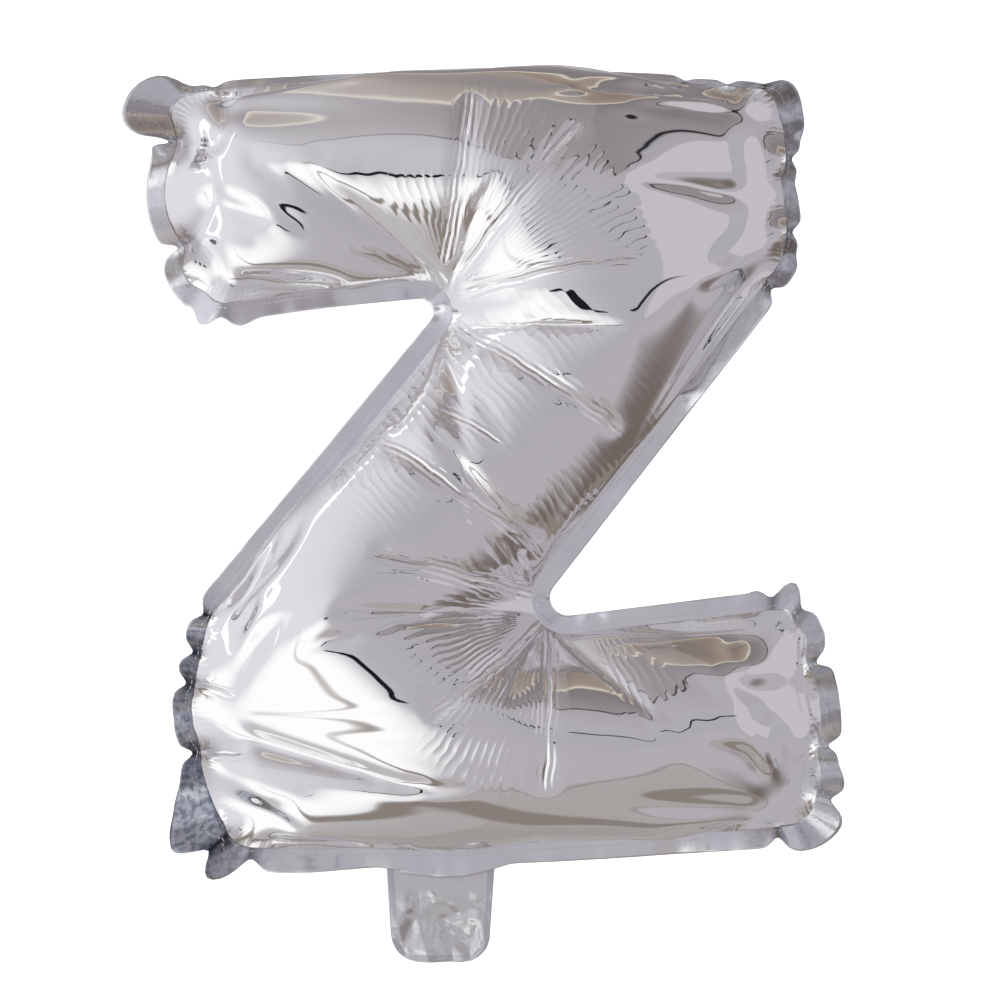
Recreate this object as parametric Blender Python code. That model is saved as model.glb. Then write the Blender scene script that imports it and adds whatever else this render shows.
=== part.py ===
# Inflated foil balloon shaped as the letter Z, with a flat filling tail, at its real size
# World frame: +X to the letter's right, +Y away from its face, +Z up, origin in the middle of the letter
import math

import bpy
import numpy as np
from mathutils import Vector
from mathutils.geometry import delaunay_2d_cdt

MM = 0.001

# Driving sizes in millimetres
STROKE_HALF_WIDTH = 46.0
RIM_DEPTH = 39.0
RIM_REACH = 50.0
RIM_POWER = 1.15
CORNER_SHARE = 0.2
SIDE_POWER = 1.6
TOP_LEAN = 0.14
LEAN_START = 58.0
LEAN_BLEND = 20.0
WALL = 1.0
GAP = 0.3
SEAM_STEP = 8.0
GRID_STEP = 9.5
SEAL_WIDTH = 8.0
SEAL_THICKNESS = 0.6
NORMAL_WINDOW = 8.0
FOOT_WINDOW = 0.5
INSET_WINDOW = 3.0
TAIL_ROOT_WIDTH = 13.0
TAIL_MIDDLE = -25.0
TAIL_HALF_WIDTH = 22.7
TAIL_TAPER = 3.0
TAIL_LENGTH = 34.5
TAIL_CORNER = 10.0
TAIL_FILM = 0.3
HINGE_DROP = 0.3
HINGE_SEAT = 0.6

# The heat-sealed seam, going down the left side first: name, x, z, radius of the corner,
# rise of the edge that follows it out of its chord
SEAM = [
    ("top_left", -143.0, 155.0, 9.0, 0.0),
    ("head_pinch_high", -136.0, 133.0, 0.0, 8.0),
    ("head_pinch_low", -132.5, 88.5, 0.0, 6.0),
    ("head_tip", -121.0, 64.0, 9.0, -1.0),
    ("upper_notch", -1.5, 79.0, 13.5, 0.0),
    ("left_elbow", -123.0, -68.0, 16.0, 0.0),
    ("left_pinch_high", -128.5, -95.0, 0.0, 3.0),
    ("left_pinch_low", -126.0, -121.5, 0.0, 3.0),
    ("bottom_left", -113.0, -164.0, 12.0, 3.0),
    ("bottom_right", 133.0, -154.0, 12.0, 2.0),
    ("foot_pinch_low", 133.0, -123.5, 0.0, 4.0),
    ("foot_pinch_high", 128.5, -84.0, 0.0, 3.0),
    ("foot_tip", 122.5, -62.5, 7.0, 0.0),
    ("lower_notch", -6.5, -78.5, 15.5, 0.0),
    ("right_elbow", 119.5, 84.0, 12.0, 2.0),
    ("right_pinch", 119.0, 118.0, 0.0, 2.5),
    ("top_right", 118.0, 157.0, 10.0, 6.0),
]

# The three inflated strokes: name, x and z of both ends of its ridge, distance from the ridge at
# which its depth runs out, and its half depth at both ends
STROKES = [
    ("head", -74.0, 129.0, 46.0, 108.0, 75.0, 26.0, 42.0),
    ("diagonal", 59.0, 66.0, -68.0, -65.0, 61.0, 33.0, 35.0),
    ("foot", -46.0, -108.0, 62.0, -128.0, 81.0, 39.0, 29.0),
]

# Pieces of the sealed border, each from one station of the seam to another: name, station and
# distance along the seam at its start, the same at its end, greatest width, where along it
# that is, lean towards the back in degrees, waves along it and the height of these waves
SEALS = [
    ("seal_ear_top_left", "top_left", -6.0, "head_pinch_high", 2.0, 21.0, 0.45, 0.0, 0.5, 3.0),
    ("seal_head_end", "head_pinch_high", 2.0, "head_tip", -12.0, 8.0, 0.5, 10.0, 3.0, 3.0),
    ("seal_head_tip", "head_tip", -12.0, "head_tip", 14.0, 13.0, 0.5, 0.0, 0.5, 2.0),
    ("seal_head_under", "head_tip", 14.0, "upper_notch", 0.0, 8.0, 0.5, 0.0, 0.0, 0.0),
    ("seal_diagonal_left", "upper_notch", 0.0, "left_elbow", 0.0, 8.0, 0.5, 0.0, 0.0, 0.0),
    ("seal_left_side", "left_elbow", 0.0, "bottom_left", -38.0, 8.0, 0.5, 0.0, 3.0, 3.0),
    ("seal_ear_bottom_left", "bottom_left", -38.0, "bottom_left", 3.0, 26.0, 0.68, 0.0, 0.5, 3.0),
    ("seal_bottom_left", "bottom_left", 3.0, "tail", -26.0, 10.0, 0.3, 0.0, 1.0, 1.0),
    ("seal_tail_root", "tail", -26.0, "tail", 26.0, TAIL_ROOT_WIDTH, 0.5, 0.0, 0.0, 0.0),
    ("seal_bottom_right", "tail", 26.0, "bottom_right", -16.0, 8.0, 0.5, 0.0, 0.0, 0.0),
    ("seal_ear_bottom_right", "bottom_right", -16.0, "bottom_right", 18.0, 14.0, 0.5, 0.0, 0.5, 3.0),
    ("seal_foot_end", "bottom_right", 18.0, "foot_tip", -10.0, 9.0, 0.3, 10.0, 3.0, 3.0),
    ("seal_ear_foot_tip", "foot_tip", -10.0, "foot_tip", 12.0, 14.0, 0.5, 0.0, 0.5, 2.0),
    ("seal_foot_upper", "foot_tip", 12.0, "lower_notch", 0.0, 8.0, 0.5, 0.0, 0.0, 0.0),
    ("seal_diagonal_right", "lower_notch", 0.0, "right_elbow", 0.0, 8.0, 0.5, 0.0, 0.0, 0.0),
    ("seal_right_side", "right_elbow", 0.0, "top_right", -18.0, 8.0, 0.5, 40.0, 3.0, 3.0),
    ("seal_ear_top_right", "top_right", -18.0, "top_right", 4.0, 11.0, 0.5, 0.0, 0.5, 2.0),
    ("seal_top", "top_right", 4.0, "top_left", -6.0, 8.0, 0.5, 65.0, 5.0, 1.0),
]


def remove_everything():
    for thing in list(bpy.data.objects):
        bpy.data.objects.remove(thing)


def make_material(name, colour, metallic, roughness, alpha=1.0):
    material = bpy.data.materials.new(name)
    material.use_nodes = True
    shader = material.node_tree.nodes["Principled BSDF"]
    shader.inputs["Base Color"].default_value = (*colour, 1.0)
    shader.inputs["Metallic"].default_value = metallic
    shader.inputs["Roughness"].default_value = roughness
    shader.inputs["Alpha"].default_value = alpha
    material.diffuse_color = (*colour, alpha)
    return material


def add_object(name, vertices, faces, material, origin=(0.0, 0.0, 0.0), parent=None):
    mesh = bpy.data.meshes.new(name)
    local = [(Vector(v) - Vector(origin)) * MM for v in vertices]
    mesh.from_pydata(local, [], faces)
    mesh.validate()
    mesh.shade_smooth()
    mesh.set_sharp_from_angle(angle=math.radians(50))
    mesh.materials.append(material)
    thing = bpy.data.objects.new(name, mesh)
    bpy.context.scene.collection.objects.link(thing)
    if parent is None:
        thing.location = Vector(origin) * MM
    else:
        thing.parent = parent
    return thing


def unit(vector):
    return vector / np.linalg.norm(vector)


def corner_arc(before, corner, after, radius):
    # Points of the arc that rounds a corner, from its first tangent point to its last
    if radius == 0.0:
        return np.array([corner])
    arriving = unit(corner - before)
    leaving = unit(after - corner)
    turn = math.atan2(arriving[0] * leaving[1] - arriving[1] * leaving[0], arriving @ leaving)
    reach = radius * math.tan(abs(turn) / 2)
    side = math.copysign(1.0, turn) * np.array([-arriving[1], arriving[0]])
    centre = corner - arriving * reach + side * radius
    count = max(3, round(abs(turn) * radius / 3.5) + 1)
    angles = np.linspace(0.0, turn, count)
    spoke = corner - arriving * reach - centre
    return np.array([
        centre + (spoke[0] * math.cos(a) - spoke[1] * math.sin(a),
                  spoke[0] * math.sin(a) + spoke[1] * math.cos(a))
        for a in angles
    ])


def seam_outline():
    # The closed seam as points, with the place of each station along it
    corners = [np.array(row[1:3]) for row in SEAM]
    count = len(SEAM)
    arcs = [
        corner_arc(corners[i - 1], corners[i], corners[(i + 1) % count], SEAM[i][3])
        for i in range(count)
    ]
    points = []
    marks = {}
    for i, row in enumerate(SEAM):
        marks[row[0]] = len(points) + len(arcs[i]) // 2
        points.extend(arcs[i])
        start = arcs[i][-1]
        end = arcs[(i + 1) % count][0]
        along = end - start
        out = unit(np.array([along[1], -along[0]]))
        pieces = max(1, round(np.linalg.norm(along) / SEAM_STEP))
        for k in range(1, pieces):
            part = k / pieces
            points.append(start + along * part + out * row[4] * 4 * part * (1 - part))
    points = np.array(points)
    steps = np.linalg.norm(np.roll(points, -1, axis=0) - points, axis=1)
    place = np.concatenate([[0.0], np.cumsum(steps)])
    stations = {name: place[index] for name, index in marks.items()}
    bottom = range(marks["bottom_left"], marks["bottom_right"])
    stations["tail"] = place[min(bottom, key=lambda k: abs(points[k][0] - TAIL_MIDDLE))]
    return points, place, stations


def point_on_seam(points, place, where):
    closed = np.vstack([points, points[:1]])
    where = where % place[-1]
    return np.array([np.interp(where, place, closed[:, 0]), np.interp(where, place, closed[:, 1])])


def outward(points, place, where, window=NORMAL_WINDOW):
    # Outward direction in the plane, evened out over a stretch of the seam
    ahead = point_on_seam(points, place, where + window)
    behind = point_on_seam(points, place, where - window)
    along = unit(ahead - behind)
    return np.array([along[1], -along[0]])


def is_inside(points, spot):
    ahead = np.roll(points, -1, axis=0)
    crosses = (points[:, 1] > spot[1]) != (ahead[:, 1] > spot[1])
    slope = (ahead[:, 0] - points[:, 0]) / np.where(crosses, ahead[:, 1] - points[:, 1], 1.0)
    left = spot[0] < points[:, 0] + slope * (spot[1] - points[:, 1])
    return np.count_nonzero(crosses & left) % 2 == 1


def seam_distance(points, spot):
    ahead = np.roll(points, -1, axis=0) - points
    part = np.clip(((spot - points) * ahead).sum(axis=1) / (ahead ** 2).sum(axis=1), 0.0, 1.0)
    return np.linalg.norm(points + ahead * part[:, None] - spot, axis=1).min()


def stroke_depth(spot):
    # Half depth of the deepest stroke over a spot, so that strokes meet in a crease
    deepest = 0.0
    for name, x1, z1, x2, z2, reach, depth_1, depth_2 in STROKES:
        start = np.array([x1, z1])
        along = np.array([x2, z2]) - start
        part = min(1.0, max(0.0, (spot - start) @ along / (along @ along)))
        away = np.linalg.norm(spot - start - along * part)
        depth = depth_1 + (depth_2 - depth_1) * part
        deepest = max(deepest, depth * max(0.0, 1.0 - (away / reach) ** 2) ** SIDE_POWER)
    return deepest


def film_height(points, spot):
    # Half depth of the inflated film over a spot: its stroke's, held down towards the seam
    # by the mean-value distance to it, and a small share of that in the corners
    to_seam = points - spot
    reach = np.linalg.norm(to_seam, axis=1)
    if reach.min() < 1e-6:
        return 0.0
    ahead = np.roll(to_seam, -1, axis=0)
    reach_ahead = np.roll(reach, -1)
    cross = to_seam[:, 0] * ahead[:, 1] - to_seam[:, 1] * ahead[:, 0]
    angle = np.arctan2(cross, (to_seam * ahead).sum(axis=1))
    weight = ((1 / reach + 1 / reach_ahead) * np.tan(angle / 2)).sum()
    span = math.sqrt(2 * STROKE_HALF_WIDTH * max(0.0, 2 / weight))
    at_rim = RIM_DEPTH * (span / RIM_REACH) ** RIM_POWER
    return min(max(stroke_depth(spot), CORNER_SHARE * at_rim), at_rim)


def lean_back(vertices):
    # The upper stroke leans back, so that its top seam lies behind the letter's plane
    climb = vertices[:, 2] - LEAN_START
    bend = np.clip(climb, 0.0, LEAN_BLEND) ** 2 / (2 * LEAN_BLEND)
    leant = vertices.copy()
    leant[:, 1] += TOP_LEAN * (bend + np.maximum(0.0, climb - LEAN_BLEND))
    return leant


def film_spots(points, place):
    # Spots of the film's mesh in the plane: two rows along the seam and a grid inside them
    spots = []
    for inset, step in ((2.5, SEAM_STEP), (7.5, SEAM_STEP)):
        count = round(place[-1] / step)
        for k in range(count):
            where = place[-1] * k / count
            out = outward(points, place, where, INSET_WINDOW)
            spot = point_on_seam(points, place, where) - out * inset
            if is_inside(points, spot) and seam_distance(points, spot) > 0.8 * inset:
                spots.append(spot)
    low = points.min(axis=0)
    high = points.max(axis=0)
    row_step = GRID_STEP * math.sqrt(3) / 2
    for row in range(int((high[1] - low[1]) / row_step) + 1):
        shift = GRID_STEP / 2 * (row % 2)
        for column in range(int((high[0] - low[0]) / GRID_STEP) + 1):
            spot = low + np.array([column * GRID_STEP + shift, row * row_step])
            if is_inside(points, spot) and seam_distance(points, spot) > 7.5 + 0.55 * GRID_STEP:
                spots.append(spot)
    kept = []
    for spot in spots:
        if all(np.linalg.norm(spot - other) > 2.2 for other in kept[-60:]):
            kept.append(spot)
    return np.array(kept)


def film_solid(points, place, side):
    # One film as a dished shell with an open rim; side is -1 for the front and 1 for the back
    border = len(points)
    plane = np.vstack([points, film_spots(points, place)])
    edges = [(k, (k + 1) % border) for k in range(border)]
    found = delaunay_2d_cdt([Vector(p) for p in plane], edges, [], 1, 1e-6)
    plane = np.array([tuple(v) for v in found[0]])
    triangles = []
    for a, b, c in found[2]:
        turn = np.cross(plane[b] - plane[a], plane[c] - plane[a])
        triangles.append((a, b, c) if turn * side < 0 else (a, c, b))
    triangles = np.array(triangles)
    depth = np.array([0.0] * border + [film_height(points, p) for p in plane[border:]])
    outer = np.column_stack([plane[:, 0], side * (GAP / 2 + depth), plane[:, 1]])
    corners = outer[triangles]
    faces = np.cross(corners[:, 1] - corners[:, 0], corners[:, 2] - corners[:, 0])
    normals = np.zeros_like(outer)
    for k in range(3):
        np.add.at(normals, triangles[:, k], faces)
    normals /= np.linalg.norm(normals, axis=1)[:, None]
    inner = outer - normals * WALL
    inner[:, 1] = side * np.maximum(side * inner[:, 1], GAP / 2)
    total = len(outer)
    skin = [tuple(int(i) for i in t) for t in triangles]
    lining = [(c + total, b + total, a + total) for a, b, c in skin]
    rim = []
    for a, b in edges:
        if side > 0:
            a, b = b, a
        rim.append((b, a, a + total))
        rim.append((b, a + total, b + total))
    return lean_back(np.vstack([outer, inner])), skin + lining + rim


def seal_solid(points, place, start, end, width, peak, lean, waves, wave_height):
    # One strip of the sealed border, from the seam out to its cut edge
    if end < start:
        end += place[-1]
    start += GAP / 2
    end -= GAP / 2
    laps = np.concatenate([place[:-1], place[:-1] + place[-1]])
    between = laps[(laps > start + GAP) & (laps < end - GAP)]
    rows = []
    for where in (start, *between, end):
        part = (where - start) / (end - start)
        foot = point_on_seam(points, place, where)
        foot = foot + outward(points, place, where, FOOT_WINDOW) * GAP
        out = outward(points, place, where)
        swell = math.sin(math.pi * part ** (math.log(0.5) / math.log(peak)))
        bulge = SEAL_WIDTH + (width - SEAL_WIDTH) * swell
        wave = wave_height * math.sin(2 * math.pi * waves * part)
        row = []
        for fraction in (0.0, 0.5, 1.0):
            reach = (bulge - GAP) * fraction * math.cos(math.radians(lean) * fraction)
            depth = bulge * fraction * math.sin(math.radians(lean) * fraction) + wave * fraction
            spot = foot + out * reach
            row.append((spot[0], depth, spot[1]))
        rows.append(row)
    grid = np.array(rows)
    half = np.array([0.0, SEAL_THICKNESS / 2, 0.0])
    vertices, faces = plate_solid(grid - half, grid + half)
    return lean_back(vertices), faces


def plate_solid(near, far):
    # Closed solid between two grids of points that face each other
    rows, columns = near.shape[:2]
    total = rows * columns
    vertices = np.vstack([near.reshape(-1, 3), far.reshape(-1, 3)])
    faces = []
    for r in range(rows - 1):
        for c in range(columns - 1):
            a = r * columns + c
            b = a + columns
            faces.append((a, b, b + 1))
            faces.append((a, b + 1, a + 1))
            faces.append((a + total, b + 1 + total, b + total))
            faces.append((a + total, a + 1 + total, b + 1 + total))
    border = [r * columns for r in range(rows)]
    border += [(rows - 1) * columns + c for c in range(1, columns)]
    border += [r * columns + columns - 1 for r in range(rows - 2, -1, -1)]
    border += list(range(columns - 2, 0, -1))
    for k, a in enumerate(border):
        b = border[(k + 1) % len(border)]
        faces.append((b, a, a + total))
        faces.append((b, a + total, b + total))
    return vertices, faces


def face_out(vertices, faces):
    # Turns all faces of a closed solid round where its volume comes out negative
    mesh = np.array(vertices)
    triangles = np.array(faces)
    volume = np.einsum("ij,ij->i", mesh[triangles[:, 0]],
                       np.cross(mesh[triangles[:, 1]], mesh[triangles[:, 2]])).sum()
    if volume < 0:
        triangles = triangles[:, ::-1]
    return [tuple(int(i) for i in t) for t in triangles]


def tail_outline(top):
    # The tail's edge, tapered and rounded at its free end
    bottom = top - TAIL_LENGTH
    end_half = TAIL_HALF_WIDTH - TAIL_TAPER
    corners = [
        (np.array([TAIL_MIDDLE - TAIL_HALF_WIDTH, top]), 0.0),
        (np.array([TAIL_MIDDLE - end_half, bottom]), TAIL_CORNER),
        (np.array([TAIL_MIDDLE + end_half, bottom]), TAIL_CORNER),
        (np.array([TAIL_MIDDLE + TAIL_HALF_WIDTH, top]), 0.0),
    ]
    points = []
    for k, (corner, radius) in enumerate(corners):
        before = corners[k - 1][0]
        after = corners[(k + 1) % 4][0]
        points.extend(corner_arc(before, corner, after, radius))
    return points


def add_tail_film(name, top, side, material, hinge):
    edge = tail_outline(top)
    near = side * GAP / 2
    far = side * (GAP / 2 + TAIL_FILM)
    vertices = [(p[0], near, p[1]) for p in edge] + [(p[0], far, p[1]) for p in edge]
    count = len(edge)
    faces = []
    for k in range(1, count - 1):
        faces.append((0, k, k + 1))
        faces.append((count, count + k + 1, count + k))
    for k in range(count):
        ahead = (k + 1) % count
        faces.append((ahead, k, k + count))
        faces.append((ahead, k + count, ahead + count))
    origin = tuple(hinge.location / MM)
    add_object(name, vertices, face_out(vertices, faces), material, origin, hinge)


def build():
    remove_everything()
    foil = make_material("silver_foil", (0.80, 0.80, 0.81), 1.0, 0.08)
    border = make_material("sealed_foil", (0.55, 0.57, 0.60), 1.0, 0.30)
    clear = make_material("clear_film", (0.86, 0.86, 0.83), 0.0, 0.15, 0.6)
    points, place, stations = seam_outline()
    for name, side in (("front_film", -1), ("back_film", 1)):
        vertices, faces = film_solid(points, place, side)
        add_object(name, vertices, face_out(vertices, faces), foil)
    for name, first, first_shift, last, last_shift, *form in SEALS:
        start = stations[first] + first_shift
        end = stations[last] + last_shift
        vertices, faces = seal_solid(points, place, start, end, *form)
        add_object(name, vertices, face_out(vertices, faces), border)
    root = point_on_seam(points, place, stations["tail"])
    hinge_height = root[1] - TAIL_ROOT_WIDTH - HINGE_DROP
    hinge = bpy.data.objects.new("tail_hinge", None)
    hinge.location = Vector((TAIL_MIDDLE, 0.0, hinge_height)) * MM
    bpy.context.scene.collection.objects.link(hinge)
    add_tail_film("tail_front_film", hinge_height - HINGE_SEAT, -1, clear, hinge)
    add_tail_film("tail_back_film", hinge_height - HINGE_SEAT, 1, clear, hinge)


build()
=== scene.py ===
# Looks of the inflated foil letter: two films blown up from their flat pattern, border and tail
import math

import bpy
import numpy as np
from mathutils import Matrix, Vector
from mathutils.geometry import delaunay_2d_cdt


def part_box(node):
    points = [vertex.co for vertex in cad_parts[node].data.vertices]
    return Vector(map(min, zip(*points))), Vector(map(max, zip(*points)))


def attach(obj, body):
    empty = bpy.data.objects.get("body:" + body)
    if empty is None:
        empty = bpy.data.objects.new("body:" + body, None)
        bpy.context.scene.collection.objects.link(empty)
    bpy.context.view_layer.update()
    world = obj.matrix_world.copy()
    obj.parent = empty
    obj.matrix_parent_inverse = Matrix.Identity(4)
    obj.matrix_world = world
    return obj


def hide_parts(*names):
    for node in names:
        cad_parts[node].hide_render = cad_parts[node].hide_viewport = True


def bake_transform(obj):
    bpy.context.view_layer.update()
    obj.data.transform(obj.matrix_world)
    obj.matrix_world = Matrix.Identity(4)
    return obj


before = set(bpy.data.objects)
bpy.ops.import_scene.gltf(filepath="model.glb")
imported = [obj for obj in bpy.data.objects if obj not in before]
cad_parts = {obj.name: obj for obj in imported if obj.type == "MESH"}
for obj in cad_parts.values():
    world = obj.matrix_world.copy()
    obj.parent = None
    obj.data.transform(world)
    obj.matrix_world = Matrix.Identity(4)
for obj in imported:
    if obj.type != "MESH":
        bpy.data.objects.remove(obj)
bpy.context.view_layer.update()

mm = 0.001
tiny = 1e-9
weldAt = 1e-6  # points of a triangulation that lie closer are one point
spotsAtOnce = 2000  # spots that a search over a whole loop takes in one go


# Helpers

def hexColour(text):
    # sRGB hex text to the linear colour that Blender's sockets take
    channels = [int(text[k:k + 2], 16) / 255 for k in (1, 3, 5)]
    linear = [c / 12.92 if c <= 0.04045 else ((c + 0.055) / 1.055) ** 2.4 for c in channels]
    return (*linear, 1.0)


def setInputs(tree, node, inputs):
    # Inputs, by name or number, set to a value or linked to a socket
    for name, value in inputs.items():
        if isinstance(value, bpy.types.NodeSocket):
            tree.links.new(value, node.inputs[name])
        else:
            node.inputs[name].default_value = value


def addNode(tree, kind, inputs=None, **settings):
    node = tree.nodes.new(kind)
    for name, value in settings.items():
        setattr(node, name, value)
    setInputs(tree, node, inputs or {})
    return node


def newMaterial(name):
    material = bpy.data.materials.new(name)
    material.use_nodes = True
    return material, material.node_tree, material.node_tree.nodes["Principled BSDF"]


def addObject(name, data):
    added = bpy.data.objects.new(name, data)
    bpy.context.scene.collection.objects.link(added)
    return added


def newPiece(name, points, faces, material, uv=None, fields=None):
    # A mesh object at the origin, with its UV map and its named values for each point
    mesh = bpy.data.meshes.new(name)
    mesh.from_pydata(np.asarray(points).tolist(), [], np.asarray(faces).tolist())
    if uv is not None:
        layer = mesh.uv_layers.new(name="UVMap")
        layer.data.foreach_set("uv", uv[np.ravel(faces)].astype(np.float32).ravel())
    for label, rows in (fields or {}).items():
        layer = mesh.attributes.new(label, "FLOAT_VECTOR", "POINT")
        layer.data.foreach_set("vector", np.asarray(rows, np.float32).ravel())
    mesh.materials.append(material)
    mesh.shade_smooth()
    return addObject(name, mesh)


def threeColumns(*columns):
    # Values for an attribute of three numbers, filled up with zeros
    return np.column_stack([*columns, *[np.zeros(len(columns[0]))] * (3 - len(columns))])


def applyModifiers(piece):
    # The evaluated mesh takes the place of the mesh and its modifiers
    piece.data = bpy.data.meshes.new_from_object(
        piece.evaluated_get(bpy.context.evaluated_depsgraph_get()))
    piece.modifiers.clear()


def thicken(piece, thickness):
    # Gives a single sheet its two faces, and applies all of its modifiers
    thick = piece.modifiers.new("thick", "SOLIDIFY")
    thick.thickness = thickness * mm
    thick.offset = 0.0
    applyModifiers(piece)


# Camera, straight in front of the letter as in the photograph

view = dict(distance=1.6, frameWidth=0.42, middle=(0.0, -0.0175), lens=90.0)


def makeCamera():
    data = bpy.data.cameras.new("camera")
    data.lens = view["lens"]
    data.sensor_fit = "HORIZONTAL"
    data.sensor_width = view["lens"] * view["frameWidth"] / view["distance"]
    camera = addObject("camera", data)
    camera.location = (view["middle"][0], -view["distance"], view["middle"][1])
    camera.rotation_euler = (math.radians(90), 0, 0)
    bpy.context.scene.camera = camera


makeCamera()


# Flat pattern of the letter, in millimetres: x across and z up, as it was cut

pattern = dict(
    half=(150.0, 198.0),
    notch=(14.0, 80.0),
    elbow=(134.0, 66.0),
    notchRadius=15.0,
    endRadius=40.0,
    elbowRadius=50.0,
    borderWidth=8.0,
    step=3.0,
    quickStep=5.0,
    seamGap=0.7,
    uvSize=500.0,
)


def crossOf(a, b):
    # How far two flat directions turn from one to the other: the area that they span
    return a[..., 0] * b[..., 1] - a[..., 1] * b[..., 0]


def filletPolygon(corners, radii, step):
    # The closed line through the corners, each rounded with its own radius
    points = []
    count = len(corners)
    for k, (corner, radius) in enumerate(zip(corners, radii)):
        arriving = corner - corners[k - 1]
        leaving = corners[(k + 1) % count] - corner
        arriving = arriving / np.linalg.norm(arriving)
        leaving = leaving / np.linalg.norm(leaving)
        turn = math.atan2(crossOf(arriving, leaving), arriving @ leaving)
        reach = radius * math.tan(abs(turn) / 2)
        side = math.copysign(1, turn) * np.array([-arriving[1], arriving[0]])
        centre = corner - arriving * reach + side * radius
        spoke = corner - arriving * reach - centre
        for a in np.linspace(0, turn, max(3, round(abs(turn) * radius / step) + 1)):
            turned = (spoke[0] * math.cos(a) - spoke[1] * math.sin(a),
                      spoke[0] * math.sin(a) + spoke[1] * math.cos(a))
            points.append(centre + turned)
    return np.array(points)


def linePlaces(points):
    # Distance of each point along the line
    steps = rowLengths(np.diff(points, axis=0))
    return np.concatenate([[0], np.cumsum(steps)])


def loopPlaces(loop):
    # The same for a closed line, with its whole length at the end
    return linePlaces(np.vstack([loop, loop[:1]]))


def evenLoop(points, step):
    # The closed line through the points, cut into equal steps
    closed = np.vstack([points, points[:1]])
    place = linePlaces(closed)
    where = np.linspace(0, place[-1], round(place[-1] / step), endpoint=False)
    return np.column_stack([np.interp(where, place, column) for column in closed.T])


def insideLoop(loop, spots):
    ahead = np.roll(loop, -1, axis=0)
    crosses = (loop[:, 1] > spots[:, None, 1]) != (ahead[:, 1] > spots[:, None, 1])
    rise = ahead[:, 1] - loop[:, 1]
    rise = np.where(np.abs(rise) < tiny, 1.0, rise)
    edge = loop[:, 0] + (ahead[:, 0] - loop[:, 0]) / rise * (spots[:, None, 1] - loop[:, 1])
    return np.count_nonzero(crosses & (spots[:, None, 0] < edge), axis=1) % 2 == 1


def nearestOnLoop(loop, spots):
    # Number of the nearest loop point for each spot, and its distance
    numbers, distances = [], []
    for some in np.array_split(spots, max(1, len(spots) // spotsAtOnce)):
        away = rowLengths(some[:, None] - loop)
        numbers.append(away.argmin(axis=1))
        distances.append(away.min(axis=1))
    return np.concatenate(numbers), np.concatenate(distances)


def withDepth(plane, depth=0.0):
    # Spots of the plane, x and z, at a depth
    return np.column_stack([plane[:, 0], np.broadcast_to(depth, len(plane)), plane[:, 1]])


def smoothAround(values, reach):
    return sum(np.roll(values, k, axis=0) for k in range(-reach, reach + 1)) / (2 * reach + 1)


def rowLengths(rows):
    return np.linalg.norm(rows, axis=-1)


def unitRows(rows):
    return rows / np.maximum(rowLengths(rows), tiny)[:, None]


def rampUp(values, low, high):
    # Smoothly from 0 at the low value to 1 at the high one
    part = np.clip((values - low) / (high - low), 0, 1)
    return part * part * (3 - 2 * part)


def patternSeam(step):
    # The outline of the letter: ends of strokes, inner notches and outer elbows, each rounded
    (half, high), (x, z), (side, elbow) = (pattern[k] for k in ("half", "notch", "elbow"))
    corners = np.array([
        (-half, high), (-half, z), (-x, z), (-side, -elbow), (-side, -high),
        (half, -high), (half, -z), (x, -z), (side, elbow), (side, high),
    ])
    radii = [pattern[kind + "Radius"] for kind in ("end", "end", "notch", "elbow", "elbow") * 2]
    return evenLoop(filletPolygon(corners, radii, step), step)


# Where the seam ends up on the full letter: it follows the rim of the CAD film. Along the long
# edges it keeps its length; round the ends it is bowed back between the folds listed here.

rimStep = 0.5
guide = dict(
    rimGap=0.45,
    draw=0.985,
    forward=0.4,
    lobePoints=41,
    highestBow=60.0,
    bowRounds=30,
    # where the long edges start: on the flat seam, and the same spots of the rim
    besideNotch=(9.0, -8.0),
    besideMiddle=(15.0, -8.0),
    starts=[(-18, 66), (16, -160), (14, -63), (-13, 161)],
)
folds = dict(
    leftSide=[(-123, -66), (-128.5, -81), (-129.5, -95), (-125.5, -123), (-117, -160),
              (-104, -165)],
    footEnd=[(116, -155), (140, -143), (135, -120), (131, -86), (127, -64), (114, -61)],
    rightSide=[(113, 72), (121, 96), (118, 127), (112, 156.5), (97, 160), (79, 162)],
    headEnd=[(-121, 157), (-134, 134), (-131.5, 91), (-116, 66)],
)


def loopArea(loop):
    return 0.5 * crossOf(loop, np.roll(loop, -1, axis=0)).sum()


def rimOfFilm():
    # The edge of the CAD front film, where the back one meets it, as a closed loop that runs
    # counter-clockwise: x, z and depth
    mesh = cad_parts["front_film"].data
    spots = np.array([v.co for v in mesh.vertices]) / mm
    numbers = {}
    same = [numbers.setdefault(tuple(np.round(s, 2)), i) for i, s in enumerate(spots)]
    backSpots = np.array([v.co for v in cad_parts["back_film"].data.vertices]) / mm
    atRim = nearestOnLoop(backSpots, spots)[1] < guide["rimGap"]
    edges = []
    for polygon in mesh.polygons:
        if all(atRim[i] for i in polygon.vertices):
            ring = [same[i] for i in polygon.vertices]
            edges += zip(ring, ring[1:] + ring[:1])
    ahead = {a: b for a, b in edges if (b, a) not in edges}
    loops = []
    while ahead:
        loop = [next(iter(ahead))]
        while loop[-1] in ahead:
            loop.append(ahead.pop(loop[-1]))
        loops.append(spots[loop[:-1]][:, [0, 2, 1]])
    loop = max(loops, key=lambda each: abs(loopArea(each)))
    return evenLoop(loop if loopArea(loop) > 0 else loop[::-1], rimStep)


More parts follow.
